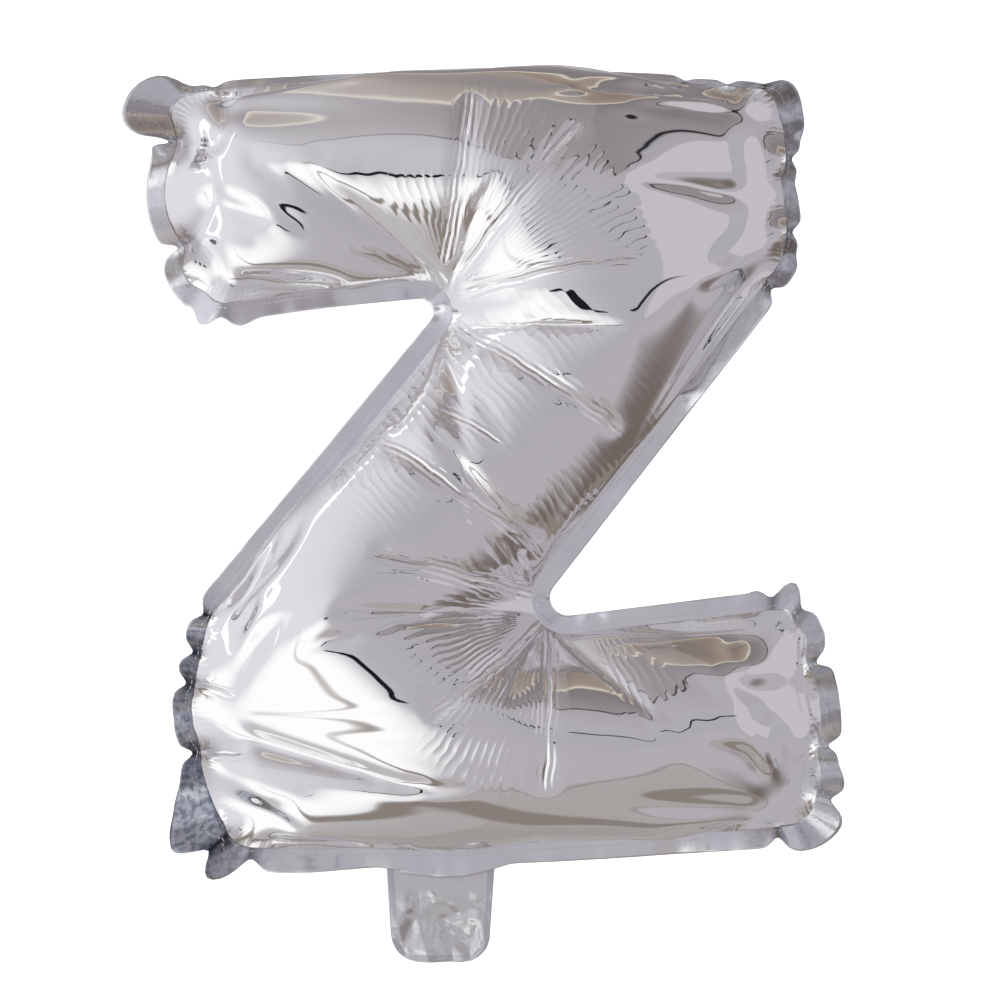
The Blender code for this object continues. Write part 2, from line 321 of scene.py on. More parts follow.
def bowedLobe(rim, start, end, flatLength, yStart, yEnd):
    # Seam between two folds, bowed across the plane until it is as long as the flat pattern
    part = np.linspace(0, 1, guide["lobePoints"])
    spots = rim[np.round(start + part * (end - start)).astype(int) % len(rim)]
    bow = np.sin(math.pi * part)
    low, high = 0.0, guide["highestBow"]
    for _ in range(guide["bowRounds"]):
        height = (low + high) / 2
        y = yStart + (yEnd - yStart) * part + height * bow
        curve = withDepth(spots, y)
        length = rowLengths(np.diff(curve, axis=0)).sum()
        low, high = (height, high) if length < flatLength else (low, height)
    return curve, height


def guideSeam(seam, rim, rimDepth):
    # Target of each seam point, and how strongly the seam is gathered there. In turn comes a
    # long edge from a start, then the gathered end with its folds, then the rest of the edge.
    x, z = np.add(pattern["notch"], guide["besideNotch"])
    high = pattern["half"][1]
    footX, headX = guide["besideMiddle"]
    starts = np.array([(-x, z), (footX, -high), (x, -z), (headX, high)])
    place = loopPlaces(seam)
    whole = place[-1]
    flatStops = place[nearestOnLoop(seam, starts)[0]]
    rimStops = nearestOnLoop(rim, np.array(guide["starts"], float))[0]
    parts = []  # place along the flat seam, target there, and 1 where it is gathered
    for k, name in enumerate(folds):
        flatStart = flatStops[k]
        flatEnd = flatStart + (flatStops[(k + 1) % 4] - flatStart) % whole
        rimStart = rimStops[k]
        rimEnd = rimStart + (rimStops[(k + 1) % 4] - rimStart) % len(rim)
        marks = nearestOnLoop(rim, np.array(folds[name], float))[0]
        marks = [rimStart + (m - rimStart) % len(rim) for m in marks]
        first = flatStart + (marks[0] - rimStart) * rimStep / guide["draw"]
        last = flatEnd - (rimEnd - marks[-1]) * rimStep / guide["draw"]
        share = np.diff(marks) / (marks[-1] - marks[0])
        lengths = share * (last - first)
        levels = np.zeros(len(marks))
        for _ in range(3):
            lobes = [bowedLobe(rim, marks[j], marks[j + 1], lengths[j] * guide["draw"],
                               levels[j], levels[j + 1]) for j in range(len(lengths))]
            bows = np.array([height for _, height in lobes])
            levels[1:-1] = -guide["forward"] * (bows[:-1] + bows[1:]) / 2
        at = first
        for (curve, _), length in zip(lobes, lengths):
            steps = linePlaces(curve)
            parts.append((at + steps[:-1] / steps[-1] * length, curve[:-1], 1))
            at += length
        for flatEdge, rimEdge, edge in ((flatStart, rimStart, np.arange(rimStart, marks[0])),
                                        (flatEnd, rimEnd, np.arange(marks[-1], rimEnd))):
            where = flatEdge + (edge - rimEdge) * rimStep / guide["draw"]
            parts.append((where, withDepth(rim[edge % len(rim)]), 0))
    rows = np.vstack([np.column_stack([where % whole, spots, np.full(len(where), pulled)])
                      for where, spots, pulled in parts])
    rows = rows[np.argsort(rows[:, 0])]
    found = np.column_stack([np.interp(place[:-1], rows[:, 0], column, period=whole)
                             for column in rows[:, 1:].T])
    seamTarget, gather = found[:, :3], found[:, 3]
    seamTarget[:, 1] += rimDepth[nearestOnLoop(rim, seamTarget[:, [0, 2]])[0]]
    return seamTarget, gather


# Inflation: Blender's cloth blows the flat pattern up while the seam is drawn to its guide

inflation = dict(
    frames=30,
    drawnBy=18,
    unit=100.0,
    cloth=dict(
        quality=5, mass=0.3, vertex_group_mass="seam", tension_stiffness=200.0,
        compression_stiffness=200.0, shear_stiffness=60.0, bending_stiffness=1.0,
        use_pressure=True, uniform_pressure_force=15.0, vertex_group_pressure="films",
    ),
    calm=2,
    calmShare=0.45,
    calmEnds=26,
    calmEndsShare=0.7,
    calmFrom=6.0,
    calmReach=34.0,
)


def flatMesh(seam, step):
    # Triangles of the front and back films, which share the seam's points
    count = len(seam)
    half, high = pattern["half"]
    columns = np.arange(-half, half, step)
    rows = np.arange(-high, high, step * math.sqrt(3) / 2)
    grid = np.array([(x + (step / 2 if k % 2 else 0), z)
                     for k, z in enumerate(rows) for x in columns])
    grid = grid[insideLoop(seam, grid)]
    fine = evenLoop(seam, step / 3)
    grid = grid[nearestOnLoop(fine, grid)[1] > pattern["seamGap"] * step]
    edges = [(k, (k + 1) % count) for k in range(count)]
    found = delaunay_2d_cdt([Vector(p) for p in np.vstack([seam, grid])], edges, [], 1, weldAt)
    plane, front = np.array(found[0]), np.array(found[2])
    a, b, c = (plane[front[:, k]] for k in range(3))
    front = np.where(crossOf(b - a, c - a)[:, None] > 0, front, front[:, ::-1])
    twin = np.arange(len(plane))
    twin[count:] += len(plane) - count
    return np.vstack([plane, plane[count:]]), front, twin[front][:, ::-1]


def inflate(flat, aim, faces):
    # Runs the cloth and gives back every point's place in millimetres
    unit = inflation["unit"]
    rest = withDepth(flat)
    drawnTo = rest.copy()
    drawnTo[:len(aim)] = aim
    blown = newPiece("blown", rest / unit, faces, foil)
    blown.shape_key_add(name="Basis")
    drawn = blown.shape_key_add(name="drawn")
    drawn.data.foreach_set("co", (drawnTo / unit).astype(np.float32).ravel())
    drawn.value = 0.0
    drawn.keyframe_insert("value", frame=1)
    drawn.value = 1.0
    drawn.keyframe_insert("value", frame=inflation["drawnBy"])
    for name, numbers in (("seam", range(len(aim))), ("films", range(len(aim), len(flat)))):
        blown.vertex_groups.new(name=name).add(list(numbers), 1.0, "REPLACE")
    modifier = blown.modifiers.new("cloth", "CLOTH")
    modifier.settings.effector_weights.gravity = 0.0
    for name, value in inflation["cloth"].items():
        setattr(modifier.settings, name, value)
    modifier.collision_settings.use_collision = False
    modifier.point_cache.frame_start = 1
    modifier.point_cache.frame_end = inflation["frames"]
    scene = bpy.context.scene
    for number in range(1, inflation["frames"] + 1):
        scene.frame_set(number)
    mesh = blown.evaluated_get(bpy.context.evaluated_depsgraph_get()).to_mesh()
    spots = np.zeros(len(flat) * 3, np.float32)
    mesh.vertices.foreach_get("co", spots)
    bpy.data.objects.remove(blown)
    scene.frame_set(1)
    return spots.reshape(-1, 3).astype(float) * unit


def faceEdges(faces):
    # The three edges of each triangle, the smaller point number first
    return np.sort(np.concatenate([faces[:, [0, 1]], faces[:, [1, 2]], faces[:, [2, 0]]]), axis=1)


def sumNeighbours(spots, edges):
    # For each point the sum of the points that it is joined to, and how many they are
    total = np.zeros_like(spots)
    np.add.at(total, edges[:, 0], spots[edges[:, 1]])
    np.add.at(total, edges[:, 1], spots[edges[:, 0]])
    return total, np.bincount(edges.ravel(), minlength=len(spots)).astype(float)


def calmFilm(spots, flat, faces, seam, gather):
    # Irons out kinks as fine as the mesh itself, and more of them next to the gathered seam
    edges = np.unique(faceEdges(faces), axis=0)
    numbers, distances = nearestOnLoop(seam, flat)
    near = smoothAround(gather, 3)[numbers]
    near *= 1 - rampUp(distances, inflation["calmFrom"], inflation["calmReach"])
    free = np.arange(len(spots)) >= len(seam)
    for share, rounds in ((free * inflation["calmShare"], inflation["calm"]),
                          (free * near * inflation["calmEndsShare"], inflation["calmEnds"])):
        for _ in range(rounds):
            total, degree = sumNeighbours(spots, edges)
            spots = spots + share[:, None] * (total / degree[:, None] - spots)
    return spots


def loopSubdivide(spots, faces):
    # One step of Loop's rule for triangles, with Loop's own weights; any further columns of
    # spots are refined alike
    count = len(spots)
    edges, back, uses = np.unique(faceEdges(faces), axis=0, return_inverse=True,
                                  return_counts=True)
    back = back.ravel()
    opposite = np.zeros((len(edges), spots.shape[1]))
    far = np.concatenate([faces[:, 2], faces[:, 0], faces[:, 1]])
    np.add.at(opposite, back, spots[far])
    inner = uses == 2
    ends = spots[edges[:, 0]] + spots[edges[:, 1]]
    middles = np.where(inner[:, None], 0.375 * ends + 0.125 * opposite, 0.5 * ends)
    total, degree = sumNeighbours(spots, edges)
    rimTotal, rimDegree = sumNeighbours(spots, edges[~inner])
    onRim = rimDegree > 0
    beta = 0.625 - (0.375 + 0.25 * np.cos(2 * math.pi / np.maximum(degree, 3))) ** 2
    moved = spots * (1 - beta)[:, None] + total * (beta / np.maximum(degree, 1))[:, None]
    moved[onRim] = 0.75 * spots[onRim] + 0.125 * rimTotal[onRim]
    a, b, c = (count + back[k * len(faces):(k + 1) * len(faces)] for k in range(3))
    p, q, r = faces.T
    split = np.vstack([np.column_stack(t) for t in ((p, a, c), (q, b, a), (r, c, b), (a, b, c))])
    return np.vstack([moved, middles]), split


# Materials

foilLook = dict(
    colour="#f2f1f1",
    roughness=(0.015, 0.05),
    hazeSize=22.0,
    pleatWarp=1.4,
    pleatWarpSize=14.0,
    unevenSize=9.0,
    leastPleat=0.25,
    foldWarp=2.4,
    foldWarpSize=11.0,
    foldWidth=1.7,
    foldSpacing=2.6,
    dents=0.2,
    dentSize=34.0,
)
borderLook = dict(
    colour="#efeff2",
    # painted shade: the bluish-grey dark colour that gathered parts of the border take, in patches
    gatheredShadeColour="#7d8492",
    leastGatheredShade=0.6,
    gatheredShadeSize=3.0,
    # painted shade, near black, in the pinches where the border folds on itself
    pinchShadeColour="#23272f",
    roughness=(0.08, 0.2),
    hazeSize=6.0,
    crinkle=0.12,
    crinkleSize=4.0,
    speckle=0.08,
    speckleSize=1.1,
    knurl=0.006,
    knurlSize=0.9,
)
tailLook = dict(
    colour="#d2d1d2",
    sealColour="#bdbdc2",
    roughness=(0.05, 0.18),
    hazeSize=7.0,
    alpha=0.86,
    sheen=0.8,
    filmThickness=420.0,
    filmIor=1.45,
    weldWidth=(2.6, 3.2),
    weldHeight=0.06,
    crinkle=0.12,
    crinkleSize=2.5,
)


def maths(tree, operation, value, *others):
    # The operation on one value, or from left to right on several
    for other in others or (0.0,):
        value = addNode(tree, "ShaderNodeMath", {0: value, 1: other},
                        operation=operation).outputs[0]
    return value


def times(tree, *values):
    return maths(tree, "MULTIPLY", *values)


def plus(tree, *values):
    return maths(tree, "ADD", *values)


def pointValues(tree, label):
    # The three values that the mesh holds for each point under this name
    found = addNode(tree, "ShaderNodeAttribute", attribute_name=label)
    return addNode(tree, "ShaderNodeSeparateXYZ", {0: found.outputs["Vector"]}).outputs


def mixColours(tree, share, first, second):
    return addNode(tree, "ShaderNodeMix", {0: share, 6: first, 7: second},
                   data_type="RGBA").outputs[2]


def noiseOf(tree, size, detail, offset=0.0):
    # Noise whose spots are about so many millimetres wide
    coords = addNode(tree, "ShaderNodeTexCoord").outputs["Object"]
    place = addNode(tree, "ShaderNodeMapping", {"Vector": coords, "Location": [offset] * 3})
    return addNode(tree, "ShaderNodeTexNoise", {
        "Vector": place.outputs[0], "Scale": 1 / (size * mm), "Detail": detail}).outputs[0]


def remap(tree, value, low, high, outLow, outHigh, **settings):
    return addNode(tree, "ShaderNodeMapRange", {
        "Value": value, "From Min": low, "From Max": high,
        "To Min": outLow, "To Max": outHigh}, **settings).outputs[0]


def pleatHeight(tree, label, bend, uneven):
    # Sharp crests with round valleys: the point's values hold how many pleats have gone by and
    # how high they stand there, in millimetres
    passed, high, _ = pointValues(tree, label)
    phase = times(tree, plus(tree, passed, bend), math.pi)
    wave = maths(tree, "ABSOLUTE", maths(tree, "SINE", phase))
    return times(tree, maths(tree, "SUBTRACT", 1.0, wave), high, uneven, mm)


def foldHeight(tree, look):
    # Fine lines beside a long fold: the point's values hold the distance across the fold and
    # their height, in millimetres
    beside, high, _ = pointValues(tree, "fold")
    noise = noiseOf(tree, look["foldWarpSize"], 1.0, 0.9)
    bend = times(tree, maths(tree, "SUBTRACT", noise, 0.5), look["foldWarp"])
    across = plus(tree, beside, bend)
    fall = maths(tree, "EXPONENT", times(tree, maths(tree, "ABSOLUTE", across),
                                         -1 / look["foldWidth"]))
    wave = maths(tree, "COSINE", times(tree, across, 2 * math.pi / look["foldSpacing"]))
    return times(tree, fall, wave, high, -mm)


def hazeOf(tree, look, detail):
    # Roughness that drifts between two values
    noise = noiseOf(tree, look["hazeSize"], detail)
    return remap(tree, noise, 0.3, 0.7, *look["roughness"])


def bumpOf(tree, height):
    return addNode(tree, "ShaderNodeBump", {
        "Height": height, "Strength": 1.0, "Distance": 1.0}).outputs[0]


def makeFoil(look):
    # Metallised film: mirror-bright aluminium under a clear plastic face
    material, tree, shader = newMaterial("silverFoil")
    dents = times(tree, noiseOf(tree, look["dentSize"], 1.5), look["dents"] * mm)
    bend = times(tree, noiseOf(tree, look["pleatWarpSize"], 1.0, 0.3), look["pleatWarp"])
    uneven = remap(tree, noiseOf(tree, look["unevenSize"], 1.0, 0.7), 0.35, 0.65,
                   look["leastPleat"], 1.0)
    height = plus(tree, foldHeight(tree, look), dents, *[
        pleatHeight(tree, label, bend, uneven) for label in ("fan", "between", "ripple")])
    setInputs(tree, shader, {
        "Base Color": hexColour(look["colour"]), "Metallic": 1.0,
        "Roughness": hazeOf(tree, look, 2.0), "Normal": bumpOf(tree, height)})
    return material


def makeBorderFoil(look):
    # The same film where it is heat-sealed: duller and greyer, and speckled where it is gathered;
    # painted shade makes it bluish-grey where gathered and near black in the pinches where it
    # folds on itself
    material, tree, shader = newMaterial("sealedFoil")
    uv = addNode(tree, "ShaderNodeTexCoord").outputs["UV"]
    gathered, pinchShade, _ = pointValues(tree, "sealShade")
    # painted shade: gathered parts take the bluish-grey dark colour in patches
    patchyShade = remap(tree, noiseOf(tree, look["gatheredShadeSize"], 3.0, 0.2), 0.4, 0.62,
                   look["leastGatheredShade"], 1.0)
    colour = mixColours(tree, times(tree, gathered, patchyShade),
                        hexColour(look["colour"]), hexColour(look["gatheredShadeColour"]))
    # painted shade, near black, in the pinches
    colour = mixColours(tree, pinchShade, colour, hexColour(look["pinchShadeColour"]))
    crinkle = times(tree, noiseOf(tree, look["crinkleSize"], 2.0), look["crinkle"] * mm)
    speckle = times(tree, noiseOf(tree, look["speckleSize"], 1.0), gathered,
                    look["speckle"] * mm)
    along, outward, _ = addNode(tree, "ShaderNodeSeparateXYZ", {0: uv}).outputs
    turn = 2 * math.pi / (look["knurlSize"] * mm)
    outTurn = pattern["borderWidth"] * mm * turn
    knurl = times(tree, maths(tree, "SINE", times(tree, along, turn)),
                  maths(tree, "SINE", times(tree, outward, outTurn)), look["knurl"] * mm)
    height = plus(tree, crinkle, knurl, speckle)
    setInputs(tree, shader, {
        "Base Color": colour, "Metallic": 1.0,
        "Roughness": hazeOf(tree, look, 3.0), "Normal": bumpOf(tree, height)})
    return material


def makeClearFilm(look):
    # Thin clear polyethylene of the filling tail, with the faint colours of a thin layer
    material, tree, shader = newMaterial("clearFilm")
    welded = remap(tree, pointValues(tree, "edge")[0], *look["weldWidth"], 1.0, 0.0)
    colour = mixColours(tree, welded, hexColour(look["colour"]), hexColour(look["sealColour"]))
    ridge = times(tree, welded, look["weldHeight"] * mm)
    crinkle = times(tree, noiseOf(tree, look["crinkleSize"], 2.0), look["crinkle"] * mm)
    height = plus(tree, ridge, crinkle)
    setInputs(tree, shader, {
        "Base Color": colour, "Metallic": look["sheen"], "Alpha": look["alpha"],
        "Roughness": hazeOf(tree, look, 3.0), "Normal": bumpOf(tree, height),
        "Thin Film Thickness": look["filmThickness"], "Thin Film IOR": look["filmIor"]})
    return material


foil = makeFoil(foilLook)
borderFoil = makeBorderFoil(borderLook)
clearFilm = makeClearFilm(tailLook)


# Where the film is too short to lie smooth it pleats: in a fan round each inner notch, across
# the middle between the notches, and in short ripples along the seam. Sizes in millimetres,
# angles in degrees from +X round towards +Z.

pleats = dict(
    fans=[
        # centre, first and last angle, start and end of the pleats, pleats in a turn, height
        ((-20.0, 71.0), 8.0, 90.0, 40.0, 84.0, 132, 0.20),
        ((-20.0, 71.0), 92.0, 165.0, 12.0, 50.0, 74, 0.10),
        ((18.0, -66.0), 150.0, 226.0, 17.0, 60.0, 96, 0.20),
        ((18.0, -66.0), 222.0, 272.0, 20.0, 74.0, 110, 0.18),
        ((23.5, -38.0), 290.0, 316.0, 36.0, 78.0, 124, 0.14),
    ],
    fanSoftness=6.0,
    fanStart=(0.4, 12.0),
    fanEnd=(5.0, 4.0),
    fanLeast=0.15,
    betweenSpacing=3.7,
    betweenSlope=-50.0,
    betweenHeight=0.11,
    betweenTurn=(75.0, 125.0),
    betweenStart=(8.0, 26.0),
    betweenClear=0.05,
    rippleLength=3.4,
    rippleStart=3.0,
    rippleReach=13.0,
    rippleHeight=0.09,
    rippleShare=0.5,
)


def fanField(spots):
    # How many pleats have gone by and their height, at each point of a film
    phase, height = np.zeros(len(spots)), np.zeros(len(spots))
    soft, (startShare, startWidth) = pleats["fanSoftness"], pleats["fanStart"]
    before, after = pleats["fanEnd"]
    for centre, first, last, start, end, inTurn, high in pleats["fans"]:
        away = spots[:, [0, 2]] - centre
        reach = rowLengths(away)
        angle = (np.degrees(np.arctan2(away[:, 1], away[:, 0])) - first) % 360
        inside = rampUp(angle, 0, soft) * (1 - rampUp(angle, last - first - soft, last - first))
        stretch = rampUp(reach, startShare * start, start + startWidth)
        stretch *= 1 - rampUp(reach, end - before, end + after)
        here = high * inside * stretch * np.minimum(1, reach / end + pleats["fanLeast"])
        phase = np.where(here > height, (angle + first) / 360 * inTurn, phase)
        height = np.maximum(here, height)
    return threeColumns(phase, height)


def betweenField(spots, fanned):
    # Nearly straight pleats across the middle stroke, where it is held between the two notches
    plane = spots[:, [0, 2]]
    a, b = pleats["fans"][0][0], pleats["fans"][2][0]
    toA, toB = plane - a, plane - b
    turned = np.arctan2(toA[:, 1], -toA[:, 0]) - np.arctan2(toB[:, 1], -toB[:, 0])
    turned = (turned + math.pi) % (2 * math.pi) - math.pi
    middle = rampUp(np.abs(turned), *np.radians(pleats["betweenTurn"]))
    near = np.minimum(rowLengths(toA), rowLengths(toB))
    clear = 1 - np.clip(fanned / pleats["betweenClear"], 0, 1)
    slope = math.radians(pleats["betweenSlope"])
    phase = plane @ (-math.sin(slope), math.cos(slope)) / pleats["betweenSpacing"]
    height = pleats["betweenHeight"] * middle * rampUp(near, *pleats["betweenStart"]) * clear
    return threeColumns(phase, height)


def rippleField(fine, numbers, distances):
    # Short pleats along the seam, higher where it is gathered
    gathered = smoothAround(fine[:, 2], 6)[numbers]
    share = pleats["rippleShare"] + (1 - pleats["rippleShare"]) * gathered
    fade = 1 - rampUp(distances, pleats["rippleStart"], pleats["rippleReach"])
    return threeColumns(numbers / pleats["rippleLength"], pleats["rippleHeight"] * share * fade)


# Long folds run from the pinches in the seam across the film: it dips along them, and fine
# lines run beside them. The same folds are taken for both films.

creases = dict(
    dipWidth=5.0,
    dipFromSeam=(1.0, 8.0),
    lineFade=(3.0, 7.0),
    endFade=9.0,
    step=0.5,
    roundings=80,
    margin=14.0,
    courses=[
        # points on the way in millimetres, depth of the dip, height of the fine lines
        ([(-23.5, 79), (-18, 106), (-14, 134), (-12, 155)], 1.0, 0.28),
        ([(-20, 74), (-7, 91), (9, 110), (27, 131), (35, 140)], 1.1, 0.30),
        ([(-18, 69), (4, 74), (23, 78), (45, 82), (60, 83)], 1.0, 0.28),
        ([(-20, 58), (-9, 50), (5, 43), (21, 31), (45, 15), (51, 8)], 1.3, 0.34),
        ([(-29, 21), (-16, 16), (-5, 10), (4, 3)], 0.6, 0.20),
        ([(-50, 6), (-39, 3), (-21, -11), (5, -29), (14, -37), (20, -44)], 1.3, 0.34),
        ([(-56, -39), (-32, -44), (-4, -52), (17, -58)], 1.3, 0.34),
        ([(19, -68), (9, -77), (0, -86), (-10, -93), (-33, -107)], 1.1, 0.30),
        ([(21, -70), (21, -95), (20, -113), (18, -141)], 1.1, 0.32),
        ([(-134, 134), (-124, 124), (-121, 112), (-124, 99), (-134, 89)], 1.6, 0.04),
        ([(-134, 134), (-121, 130), (-116, 138), (-117, 150), (-120, 160)], 1.6, 0.04),
        ([(-134, 91), (-124, 91), (-119, 82), (-116, 70)], 1.5, 0.04),
        ([(127, -62), (128, -75), (127, -90), (130, -106), (137, -120)], 1.2, 0.12),
        ([(137, -119), (128, -128), (121, -146)], 1.2, 0.12),
        ([(-129, -95), (-116, -97), (-108, -99)], 0.7, 0.24),
        ([(-126, -123), (-112, -124), (-103, -121)], 0.7, 0.24),
    ],
)


def creaseField(spots, fromSeam):
    # Dip of the film at each point, and the distance across the fold and height of its lines
    dip, across, lines = (np.zeros(len(spots)) for _ in range(3))
    plane = spots[:, [0, 2]]
    for course, depth, height in creases["courses"]:
        stops = np.array(course, float)
        place = linePlaces(stops)
        where = np.linspace(0, place[-1], int(place[-1] / creases["step"]))
        way = np.column_stack([np.interp(where, place, column) for column in stops.T])
        for _ in range(creases["roundings"]):
            way[1:-1] = (way[:-2] + way[1:-1] + way[2:]) / 3
        flow = unitRows(np.gradient(way, axis=0))
        low, high = way.min(axis=0) - creases["margin"], way.max(axis=0) + creases["margin"]
        near = np.flatnonzero(((plane > low) & (plane < high)).all(axis=1))
        numbers, distances = nearestOnLoop(way, plane[near])
        side = crossOf(flow[numbers], plane[near] - way[numbers])
        fade = rampUp(where, 0, creases["endFade"])
        fade = (fade * (1 - rampUp(where, place[-1] - creases["endFade"], place[-1])))[numbers]
        here = fade * np.exp(-(distances / creases["dipWidth"]) ** 2)
        here *= rampUp(fromSeam[near], *creases["dipFromSeam"])
        dip[near] = np.maximum(dip[near], depth * here)
        strength = height * fade * (1 - rampUp(distances, *creases["lineFade"]))
        stronger = strength > lines[near]
        across[near[stronger]] = side[stronger]
        lines[near[stronger]] = strength[stronger]
    return dip, threeColumns(across, lines)


def outwardRows(spots, faces):
    # Way out of the film at each point
    a, b, c = (spots[faces[:, k]] for k in range(3))
    flow = np.cross(b - a, c - a)
    normals = np.zeros_like(spots)
    for k in range(3):
        np.add.at(normals, faces[:, k], flow)
    return unitRows(normals)


def makeFilm(name, node, film, spots, flat, seam, gather):
    used, inverse = np.unique(film, return_inverse=True)
    rows, faces = loopSubdivide(np.hstack([spots[used], flat[used]]), inverse.reshape(-1, 3))
    spots, flat = rows[:, :3], rows[:, 3:]
    fine = evenLoop(np.column_stack([seam, gather]), 1.0)
    numbers, distances = nearestOnLoop(fine[:, :2], flat)
    dip, fold = creaseField(spots, distances)
    fan = fanField(spots)
    fields = {"fan": fan, "between": betweenField(spots, fan[:, 1]),
              "ripple": rippleField(fine, numbers, distances), "fold": fold}
    places = spots - outwardRows(spots, faces) * dip[:, None]
    piece = newPiece(name, places * mm, faces, foil, flat / pattern["uvSize"] + 0.5, fields)
    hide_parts(node)
    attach(piece, "balloon")


# Sealed border, built out from the blown-up seam as far as the CAD border reaches

border = dict(
    rows=6,
    inside=0.6,
    edgeStep=0.7,
    leastSeen=2.0,
    notchDepth=0.7,
    notchReach=2.6,
    outlineReach=14,
    mostLean=0.8,
    ruffle=0.25,
    ruffleLengths=(2.3, 9.0, 5.1),
    ruffleDrift=1.7,
    thickness=0.2,
    # painted shade of the gathered border at each end, 1 the darkest
    shade=dict(leftSide=1.0, footEnd=0.3, rightSide=0.6, headEnd=0.15),
    shadeReach=12,
    leastPinchShade=0.4,
)


def seenWidths(rim):
    # How far the CAD border reaches out from each point of the rim
    spots = []
    for name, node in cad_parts.items():
        if name.startswith("seal_"):
            corners = np.array([v.co for v in node.data.vertices])[:, [0, 2]] / mm
            for edge in node.data.edges:
                a, b = (corners[i] for i in edge.vertices)
                parts = max(2, int(np.linalg.norm(b - a) / border["edgeStep"]))
                spots.append(a + (b - a) * np.linspace(0, 1, parts)[:, None])
    numbers, distances = nearestOnLoop(rim, np.vstack(spots))
    widths = np.zeros(len(rim))
    np.maximum.at(widths, numbers, distances)
    widths = np.max([np.roll(widths, k) for k in range(-3, 4)], axis=0)
    return smoothAround(widths, 3)


def foldSpots():
    return np.array([spot for row in folds.values() for spot in row], float)


def foldNotches(rim):
    # The border is folded on itself at each fold, so it shows narrow there
    places = nearestOnLoop(rim, foldSpots())[0]
    half = len(rim) / 2
    away = (np.arange(len(rim))[:, None] - places + half) % len(rim) - half
    narrow = np.exp(-(away * rimStep / border["notchReach"]) ** 2).max(axis=1)
    return 1 - border["notchDepth"] * narrow


def endShade(rim):
    # How dark and dull the painted shade makes the gathered border at the nearest of its folds
    shades = np.array([border["shade"][name] for name, row in folds.items() for _ in row])
    return smoothAround(shades[nearestOnLoop(foldSpots(), rim)[0]], border["shadeReach"])


def inwardRows(spots, count, films, along):
    # Way from each seam point into the letter, halfway between the two films
    inward = np.zeros((count, 3))
    for faces in films:
        toFilm = np.zeros((count, 3))
        for a in range(3):
            for b in range(3):
                near = (faces[:, a] < count) & (faces[:, b] >= count)
                np.add.at(toFilm, faces[near, a], spots[faces[near, b]] - spots[faces[near, a]])
        toFilm -= along * (toFilm * along).sum(axis=1)[:, None]
        inward += unitRows(toFilm)
    return unitRows(inward)


def makeBorder(spots, count, films, rim, gather):
    # The border stands out from the seam, between the directions of the two films
    seamSpots = spots[:count]
    along = unitRows(np.roll(seamSpots, -1, axis=0) - np.roll(seamSpots, 1, axis=0))
    out = unitRows(smoothAround(-inwardRows(spots, count, films, along), 2))
    lean = np.clip(smoothAround(out[:, 1], 3), -border["mostLean"], border["mostLean"])
    numbers, _ = nearestOnLoop(rim, seamSpots[:, [0, 2]])
    seen, notches = seenWidths(rim), foldNotches(rim)
    widths = (seen * notches)[numbers]
    shade = endShade(rim)[numbers]
    # painted shade in the pinches, stronger at the ends that take more painted shade
    pinchShade = ((1 - notches) / border["notchDepth"])[numbers] ** 2
    pinchShade *= border["leastPinchShade"] + (1 - border["leastPinchShade"]) * shade
    # painted shade of the border: its gathered parts by the shade of their end, and its pinches
    sealShade = threeColumns(smoothAround(gather, 4) * shade, pinchShade)
    # Where less of the border is seen than there is, the rest of it turns to the back
    whole = pattern["borderWidth"]
    hidden = np.sqrt(np.maximum(0, whole ** 2 - np.maximum(seen, border["leastSeen"]) ** 2))
    rise = lean * np.maximum(widths, whole) + hidden[numbers]
    reach = border["outlineReach"]
    flow = np.roll(rim, -reach, axis=0) - np.roll(rim, reach, axis=0)
    outPlane = unitRows(np.column_stack([flow[:, 1], -flow[:, 0]]))[numbers]
    outward = withDepth(outPlane * widths[:, None], rise)
    place = loopPlaces(seamSpots)[:-1]
    short, drift, long = border["ruffleLengths"]
    wave = np.sin(place / short + border["ruffleDrift"] * np.sin(place / drift))
    ruffle = border["ruffle"] * (wave + np.sin(place / long))
    rows = border["rows"]
    sheets, marks = [], []
    for k in range(rows):
        v = k / (rows - 1)
        row = seamSpots + outward * v - unitRows(outward) * border["inside"] * (1 - v)
        row[:, 1] += ruffle * v
        sheets.append(row)
        marks.append(np.column_stack([place * mm, np.full(count, v)]))
    faces = [(k * count + i, k * count + (i + 1) % count, (k + 1) * count + (i + 1) % count,
              (k + 1) * count + i) for k in range(rows - 1) for i in range(count)]
    piece = newPiece("sealBorder", np.vstack(sheets) * mm, faces, borderFoil, np.vstack(marks),
                     {"sealShade": np.vstack([sealShade] * rows)})
    smooth = piece.modifiers.new("smooth", "SUBSURF")
    smooth.levels = smooth.render_levels = 1
    thicken(piece, border["thickness"])
    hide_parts(*[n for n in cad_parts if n.startswith("seal_")])
    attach(piece, "balloon")
    line = seamSpots + outward * dashes["across"]
    line[:, 1] += ruffle * dashes["across"]
    makeDashes(line)


# Heat-seal line: short raised bars that follow the border, set out by Geometry Nodes

dashes = dict(across=0.3, spacing=2.4, length=1.5, radius=0.2)


